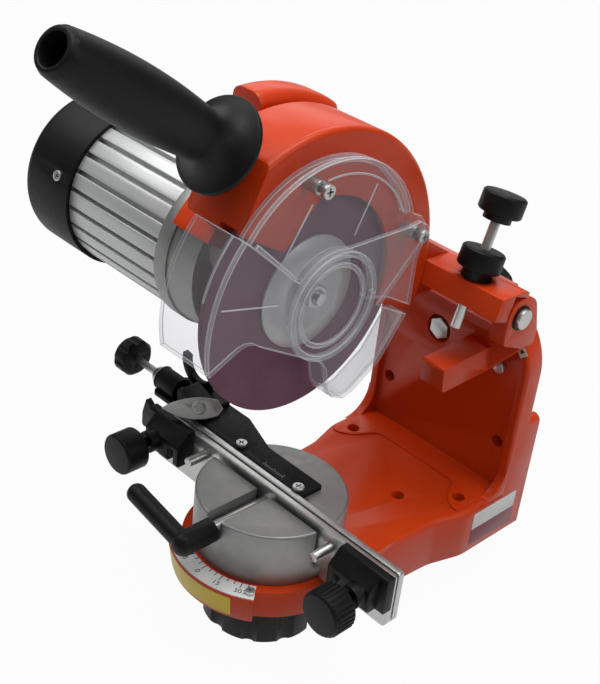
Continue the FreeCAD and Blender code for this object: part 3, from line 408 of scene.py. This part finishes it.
# a sheet with the given outline, drawn point by point and pulled to its thickness along x
def drawSheet(outline, back, front):
    sheet = primitive("plane", size=0.001)
    bpy.ops.object.mode_set(mode="EDIT")
    bpy.ops.mesh.select_all(action="SELECT")
    bpy.ops.mesh.merge(type="CENTER")
    bpy.ops.transform.translate(value=onGuard(back, *outline[0]))
    for here, there in zip(outline, outline[1:]):
        move = onGuard(back, *there) - onGuard(back, *here)
        bpy.ops.mesh.extrude_region_move(TRANSFORM_OT_translate={"value": move})
    bpy.ops.mesh.select_all(action="SELECT")
    bpy.ops.mesh.edge_face_add()
    bpy.ops.mesh.extrude_region_move(TRANSFORM_OT_translate={"value": ((front - back) / 1000, 0, 0)})
    bpy.ops.mesh.select_all(action="SELECT")
    bpy.ops.mesh.normals_make_consistent(inside=False)
    bpy.ops.object.mode_set(mode="OBJECT")
    return sheet


def drawBand(middle, outer, inner, start, end, back, front):
    outline = arcPoints(middle, outer, start, end) + arcPoints(middle, inner, end, start)
    return drawSheet(outline, back, front)


def drawRib(start, end, width, back, front):
    along = Vector(end) - Vector(start)
    side = Vector((-along.y, along.x)).normalized() * width / 2
    corners = [Vector(start) + side, Vector(end) + side, Vector(end) - side, Vector(start) - side]
    return drawSheet([tuple(corner) for corner in corners], back, front)


def drawRing(outer, inner, back, front):
    return drawBand((0, 0), outer, inner, 0, 359.9, back, front)


# broad faces are clear; cut edges and ribs get a denser, whiter sheet, partly painted highlight, and the
# rounded corners get the whitest sheet, a painted highlight
def glaze(piece, kind):
    hub = onGuard(0, 0, 0)
    for sheet in (finishes["clear_plastic"], clearSideAndHighlight, clearEdgeHighlight):
        piece.data.materials.append(sheet)
    for face in piece.data.polygons:
        out = face.center - hub
        out.x = 0
        level = abs(face.normal.x)
        broad = level > 0.7 if kind == "sheet" else abs(face.normal.dot(out.normalized())) > 0.7
        face.material_index = 0 if broad and kind != "rib" else 1
    soften(piece, guard["round"], 30, 2, 2)
    return piece


def addGuard():
    look = guard
    hub, eye = look["hub"], look["eye"]
    arch = (look["archMiddle"], look["archRadius"])
    inner = look["archRadius"] - look["rimThick"]
    wall = look["wallRadius"]
    ends = (look["archStart"], look["archEnd"])
    turned = (look["wallStart"], look["wallEnd"])
    behind = look["faceBack"] - look["gap"]
    before = look["faceFront"] + look["gap"]
    onArch = look["archFront"] + look["gap"]
    axis = (0, 0)
    rimFront = look["archBack"] - look["gap"]
    hubTurn = look["hubTurn"]
    share = look["chuteShare"]
    middle = Vector(look["chuteMiddle"])
    archOutline = arcPoints(*arch, *ends) + archEar
    archOutline = archOutline + arcPoints(axis, hub[0] - 1, look["hubUnder"], hubTurn[0])
    faceOutline = arcPoints(axis, wall, turned[1], turned[0]) + arcPoints(axis, hub[0], *hubTurn)
    faceOutline = faceOutline + faceWing + chuteLine + faceFoot
    inward = [tuple(share * Vector(point) + (1 - share) * middle) for point in chuteLine]
    chute = chuteLine + inward[::-1]
    made = [glaze(drawSheet(archOutline, look["archBack"], look["archFront"]), "sheet"),
            glaze(drawSheet(faceOutline, look["faceBack"], look["faceFront"]), "sheet"),
            glaze(drawSheet(chute, look["chuteBack"], behind), "rib"),
            glaze(drawBand(arch[0], arch[1], inner, *ends, look["rimBack"], rimFront), "wall"),
            glaze(drawBand(axis, wall, wall - look["wallThick"], *turned, look["wallBack"], behind), "wall"),
            glaze(drawRing(hub[0], hub[1], before, hub[2]), "rib"),
            glaze(drawRing(eye[0], eye[1], before, eye[2]), "rib"),
            glaze(drawRib(*look["step"], before, look["stepFront"]), "rib"),
            glaze(drawBand(arch[0], *look["line"], onArch, look["lineFront"]), "rib"),
            glaze(drawBand(axis, *look["fold"]), "rib")]
    for start, end, width, back in guardRibs.values():
        rib = drawRib(start, end, width, back + look["gap"], back + look["ribHeight"])
        made.append(glaze(rib, "rib"))
    deselect()
    for piece in made:
        piece.select_set(True)
    bpy.context.view_layer.objects.active = made[0]
    bpy.ops.object.join()
    joined = bpy.context.object
    joined.name = "clearGuard"
    bpy.ops.object.transform_apply(location=True, rotation=True, scale=True)
    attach(joined, bodyOf["clear_guard"])
    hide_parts("clear_guard")


addGuard()
print("guard drawn")


# marks and figures on the angle scale, outside its red line
scaleMarks = {"step": 5, "reach": 35, "inner": 47.2, "short": 2.6, "long": 4.2, "width": 0.55,
              "height": 35.0, "figureRadius": 54.3, "figureSize": 4.8,
              "figures": {-30: "30", -15: "15", 0: "0", 15: "15", 29.4: "30", 35: "35"}}


def addScaleMarks():
    look = scaleMarks
    made = []
    for degree in range(-look["reach"], look["reach"] + 1, look["step"]):
        length = look["long"] if degree % 15 == 0 else look["short"]
        mark = primitive("plane", size=1)
        mark.scale = (length / 1000, look["width"] / 1000, 1)
        bpy.ops.object.transform_apply(location=False, rotation=False, scale=True)
        bpy.ops.object.mode_set(mode="EDIT")
        bpy.ops.mesh.extrude_region_move(TRANSFORM_OT_translate={"value": (0, 0, 0.00006)})
        bpy.ops.object.mode_set(mode="OBJECT")
        turn = math.radians(-90 + degree)
        middle = look["inner"] + length / 2
        mark.location = at(middle * math.cos(turn), middle * math.sin(turn), look["height"])
        mark.rotation_euler = (0, 0, turn)
        made.append(mark)
    for degree, figure in look["figures"].items():
        deselect()
        turn = math.radians(-90 + degree)
        radius = look["figureRadius"]
        bpy.ops.object.text_add()
        words = bpy.context.object
        words.data.body = figure
        words.data.size = look["figureSize"] / 1000
        words.data.align_x = "CENTER"
        words.data.align_y = "CENTER"
        words.data.extrude = 0.00003
        bpy.ops.object.convert(target="MESH")
        words = bpy.context.object
        words.location = at(radius * math.cos(turn), radius * math.sin(turn), look["height"] + 0.03)
        words.rotation_euler = (0, 0, turn + math.pi / 2)
        made.append(words)
    deselect()
    for mark in made:
        mark.select_set(True)
    bpy.context.view_layer.objects.active = made[0]
    bpy.ops.object.join()
    keep(bpy.context.object, "scaleMarks", "base", "white_plate", inks["black"])


addScaleMarks()


# short rule engraved on the stop plate beside the rail
stopRule = {"start": -18, "end": -2, "step": 1.6, "row": 8.6, "long": 3.0, "short": 1.8,
            "width": 0.3, "top": 72.0}


def addStopRule():
    look = stopRule
    made = []
    count = int((look["end"] - look["start"]) / look["step"]) + 1
    for i in range(count):
        length = look["long"] if i % 5 == 0 else look["short"]
        mark = primitive("plane", size=1)
        mark.scale = (look["width"] / 1000, length / 1000, 1)
        bpy.ops.object.transform_apply(location=False, rotation=False, scale=True)
        bpy.ops.object.mode_set(mode="EDIT")
        bpy.ops.mesh.extrude_region_move(TRANSFORM_OT_translate={"value": (0, 0, 0.00005)})
        bpy.ops.object.mode_set(mode="OBJECT")
        mark.location = at(look["start"] + i * look["step"], look["row"] + length / 2, look["top"])
        made.append(mark)
    deselect()
    for mark in made:
        mark.select_set(True)
    bpy.context.view_layer.objects.active = made[0]
    bpy.ops.object.join()
    keep(bpy.context.object, "stopRule", "vise", "black_steel", inks["pale"])


addStopRule()


# blank two-colour plate on the right flank of the bed
def addFlankPlate(name, low, high, ink):
    look = {"front": 123, "rear": 166, "face": 61.0, "thick": 0.12}
    plate = primitive("plane", size=1)
    plate.scale = ((look["rear"] - look["front"]) / 1000, (high - low) / 1000, 1)
    bpy.ops.object.transform_apply(location=False, rotation=False, scale=True)
    bpy.ops.object.mode_set(mode="EDIT")
    bpy.ops.mesh.extrude_region_move(TRANSFORM_OT_translate={"value": (0, 0, look["thick"] / 1000)})
    bpy.ops.object.mode_set(mode="OBJECT")
    middle = at(look["face"], (look["front"] + look["rear"]) / 2, (low + high) / 2)
    plate.matrix_world = Matrix.Translation(middle) @ Matrix(((0, 0, 1), (1, 0, 0), (0, 1, 0))).to_4x4()
    soften(plate, 0.00004)
    keep(plate, name, "base", "orange_paint", inks[ink])


addFlankPlate("flankPlateWhite", 17.0, 29.6, "white")
addFlankPlate("flankPlateMaroon", 4.5, 17.0, "maroon")


# blank yellow plate wrapped round the front of the horn
def addHornPlate():
    look = {"start": -128, "end": -63, "low": 18.0, "high": 32.4, "topRadius": 58.9,
            "footRadius": 56.5, "thick": 0.15, "steps": 40}
    start = math.radians(look["start"])
    foot = look["footRadius"]
    strip = primitive("plane", size=0.01)
    bpy.ops.object.mode_set(mode="EDIT")
    bpy.ops.mesh.select_all(action="SELECT")
    bpy.ops.mesh.merge(type="CENTER")
    bpy.ops.transform.translate(value=at(foot * math.cos(start), foot * math.sin(start), look["low"]))
    grow = look["topRadius"] - foot
    rise = Vector((grow * math.cos(start), grow * math.sin(start), look["high"] - look["low"])) / 1000
    bpy.ops.mesh.extrude_region_move(TRANSFORM_OT_translate={"value": rise})
    bpy.ops.mesh.select_all(action="SELECT")
    bpy.ops.mesh.spin(steps=look["steps"], angle=math.radians(look["start"] - look["end"]),
                      center=at(0, 0, 0), axis=(0, 0, 1))
    bpy.ops.mesh.select_all(action="SELECT")
    bpy.ops.mesh.remove_doubles(threshold=1e-6)
    bpy.ops.mesh.normals_make_consistent(inside=False)
    bpy.ops.object.mode_set(mode="OBJECT")
    wall = strip.modifiers.new("thickness", "SOLIDIFY")
    wall.thickness = look["thick"] / 1000
    wall.offset = 0
    choose(strip)
    bpy.ops.object.modifier_apply(modifier="thickness")
    bpy.ops.object.shade_smooth_by_angle(angle=math.radians(35))
    keep(strip, "hornPlate", "base", "orange_paint", inks["yellow"])


addHornPlate()


# white index mark on the upright's rim, read against the tilting bracket
def addIndexMark():
    look = {"middle": (53.4, 148.95, 137.8), "size": (6.4, 7.2), "turn": 39, "thick": 0.15}
    tag = primitive("plane", size=1)
    tag.scale = (look["size"][0] / 1000, look["size"][1] / 1000, 1)
    bpy.ops.object.transform_apply(location=False, rotation=False, scale=True)
    bpy.ops.object.mode_set(mode="EDIT")
    bpy.ops.mesh.extrude_region_move(TRANSFORM_OT_translate={"value": (0, 0, look["thick"] / 1000)})
    bpy.ops.object.mode_set(mode="OBJECT")
    facing = Matrix(((1, 0, 0), (0, 0, -1), (0, 1, 0))).to_4x4()
    leaning = Matrix.Rotation(math.radians(look["turn"]), 4, "Z")
    seat = Matrix.Translation(at(*look["middle"])) @ facing @ leaning
    tag.matrix_world = seat
    soften(tag, 0.00005)
    keep(tag, "indexTag", "base", "orange_paint", inks["white"])
    arrow = primitive("circle", vertices=3, radius=0.0021, fill_type="NGON")
    bpy.ops.object.mode_set(mode="EDIT")
    bpy.ops.mesh.select_all(action="SELECT")
    bpy.ops.mesh.extrude_region_move(TRANSFORM_OT_translate={"value": (0, 0, 0.00008)})
    bpy.ops.mesh.select_all(action="SELECT")
    bpy.ops.mesh.normals_make_consistent(inside=False)
    bpy.ops.object.mode_set(mode="OBJECT")
    arrow.matrix_world = seat @ Matrix.Translation((0, 0, look["thick"] / 1000))
    keep(arrow, "indexArrow", "base", "orange_paint", inks["black"])


addIndexMark()


# raised ribs round a plastic knob, one modelled and the rest copied
def addRibs(name, body, start, end, radius, count, size):
    along = (end - start).normalized()
    across = along.orthogonal().normalized()
    length = (end - start).length
    made = []
    first = primitive("cube", size=1)
    first.scale = (size * 1.6, size, length)
    bpy.ops.object.transform_apply(location=False, rotation=False, scale=True)
    soften(first, size * 0.35)
    for i in range(count):
        rib = first
        if i:
            rib = first.copy()
            rib.data = first.data.copy()
            bpy.context.scene.collection.objects.link(rib)
        made.append(rib)
    for i, rib in enumerate(made):
        out = Matrix.Rotation(2 * math.pi * i / count, 3, along) @ across
        turned = Matrix((out, along.cross(out), along)).transposed().to_4x4()
        rib.matrix_world = Matrix.Translation((start + end) / 2 + out * (radius - size * 0.3)) @ turned
    deselect()
    for rib in made:
        rib.select_set(True)
    bpy.context.view_layer.objects.active = first
    bpy.ops.object.join()
    keep(bpy.context.object, name, body, "black_plastic")


addRibs("rightKnobRibs", "right_knob", at(87.5, -45.2, 61), at(87.5, -32.6, 61), 0.013, 30, 0.0012)
print("marks and plates made")


# bolt head in the tray and the dark washer behind the hinge pin's cap
def addBoltHead(name, body, point, along, radius, height, slot, finish=None, sides=32):
    bolt = primitive("cylinder", vertices=sides, radius=radius, depth=height)
    lay(bolt, point + Vector(along) * (height / 2), along)
    soften(bolt, min(radius, height) * 0.25)
    keep(bolt, name, body, slot, finish)


addBoltHead("trayBolt", "base", at(38.2, 153, 118.1), (0, -1, 0), 0.0042, 0.0032, "zinc_steel")
addBoltHead("hingeWasher", "tilt", at(60.95, 127, 172.5), (1, 0, 0), 0.0078, 0.0009, "black_steel")
print("small fasteners made")


# studio
studio = {"azimuth": 42.77, "elevation": 30.75, "roll": 6.67, "lens": 67.92,
          "eye": (0.41378, -0.56082, 0.52849), "floor": -0.0202, "reach": 6.0,
          "skyLow": 0.05, "skyHigh": 0.5}


def addCamera():
    around = math.radians(studio["azimuth"])
    above = math.radians(studio["elevation"])
    lean = math.radians(studio["roll"])
    flat = math.cos(above)
    back = Vector((math.sin(around) * flat, -math.cos(around) * flat, math.sin(above)))
    level = Vector((math.cos(around), math.sin(around), 0))
    rise = back.cross(level)
    right = level * math.cos(lean) + rise * math.sin(lean)
    up = rise * math.cos(lean) - level * math.sin(lean)
    data = bpy.data.cameras.new("photoCamera")
    data.lens = studio["lens"]
    data.sensor_width = 36
    data.clip_start = 0.01
    camera = bpy.data.objects.new("photoCamera", data)
    turned = Matrix((right, up, back)).transposed().to_4x4()
    camera.matrix_world = Matrix.Translation(studio["eye"]) @ turned
    bpy.context.scene.collection.objects.link(camera)
    bpy.context.scene.camera = camera


def addLamp(name, place, target, size, power):
    data = bpy.data.lights.new(name, "AREA")
    data.energy = power
    data.shape = "RECTANGLE"
    data.size, data.size_y = size
    lamp = bpy.data.objects.new(name, data)
    aim = (Vector(place) - Vector(target)).normalized()
    lamp.matrix_world = Matrix.Translation(place) @ aim.to_track_quat("Z", "Y").to_matrix().to_4x4()
    bpy.context.scene.collection.objects.link(lamp)


# white for what the camera, mirrors and clear sheets see; shade still falls on it
def paleFinish(name, shadeShare):
    finish = Finish(name)
    path = finish.tree.nodes.new("ShaderNodeLightPath").outputs
    seen = Socket(finish, path["Is Camera Ray"]) + Socket(finish, path["Is Glossy Ray"])
    seen = seen + Socket(finish, path["Is Transmission Ray"])
    glow = finish.node("ShaderNodeEmission", None, {"Color": (1, 1, 1, 1), "Strength": 1.0})
    shade = finish.node("ShaderNodeBsdfDiffuse", None, {"Color": paint(170, 170, 170)})
    share = finish.node("ShaderNodeMath", {"operation": "MULTIPLY", "use_clamp": True},
                        {0: seen, 1: 1 - shadeShare})
    both = finish.node("ShaderNodeMixShader", None, {0: share, 1: shade, 2: glow})
    target = finish.tree.nodes["Material Output"].inputs["Surface"]
    finish.tree.links.new(both.output, target)
    return finish.material


# a soft tent: bright overhead, dim towards the horizon, plain white to the camera
def addSky():
    world = bpy.data.worlds.new("studioWorld")
    bpy.context.scene.world = world
    world.use_nodes = True
    tree = world.node_tree
    sky = tree.nodes["Background"]
    sky.inputs["Color"].default_value = (1, 1, 1, 1)
    place = tree.nodes.new("ShaderNodeTexCoord").outputs["Generated"]
    split = tree.nodes.new("ShaderNodeSeparateXYZ")
    tree.links.new(place, split.inputs[0])
    height = tree.nodes.new("ShaderNodeMapRange")
    height.inputs["From Min"].default_value = 0.0
    height.inputs["From Max"].default_value = 0.9
    height.inputs["To Min"].default_value = studio["skyLow"]
    height.inputs["To Max"].default_value = studio["skyHigh"]
    tree.links.new(split.outputs["Z"], height.inputs["Value"])
    seen = tree.nodes.new("ShaderNodeLightPath").outputs["Is Camera Ray"]
    level = tree.nodes.new("ShaderNodeMix")
    level.inputs[3].default_value = 1.0
    tree.links.new(seen, level.inputs[0])
    tree.links.new(height.outputs[0], level.inputs[2])
    tree.links.new(level.outputs[0], sky.inputs["Strength"])


def addStudio():
    floor = primitive("plane", size=studio["reach"], location=(0, 0, studio["floor"]))
    floor.name = "studioFloor"
    floor.data.materials.append(paleFinish("paleFloor", 0.04))
    addSky()
    addLamp("keySoftbox", (-0.8, -0.35, 1.3), (0, -0.05, 0.15), (0.8, 0.8), 7)
    addLamp("topSoftbox", (0.1, 0.1, 1.6), (0, 0, 0.15), (1.0, 0.8), 13)
    addLamp("sideSoftbox", (1.3, 0.3, 0.9), (0, -0.05, 0.2), (0.7, 0.9), 4)
    addLamp("rearSoftbox", (-0.9, 1.0, 0.9), (0, -0.05, 0.2), (1.2, 0.8), 4)
    bpy.context.scene.view_settings.view_transform = "Standard"


addCamera()
addStudio()
print("studio set")
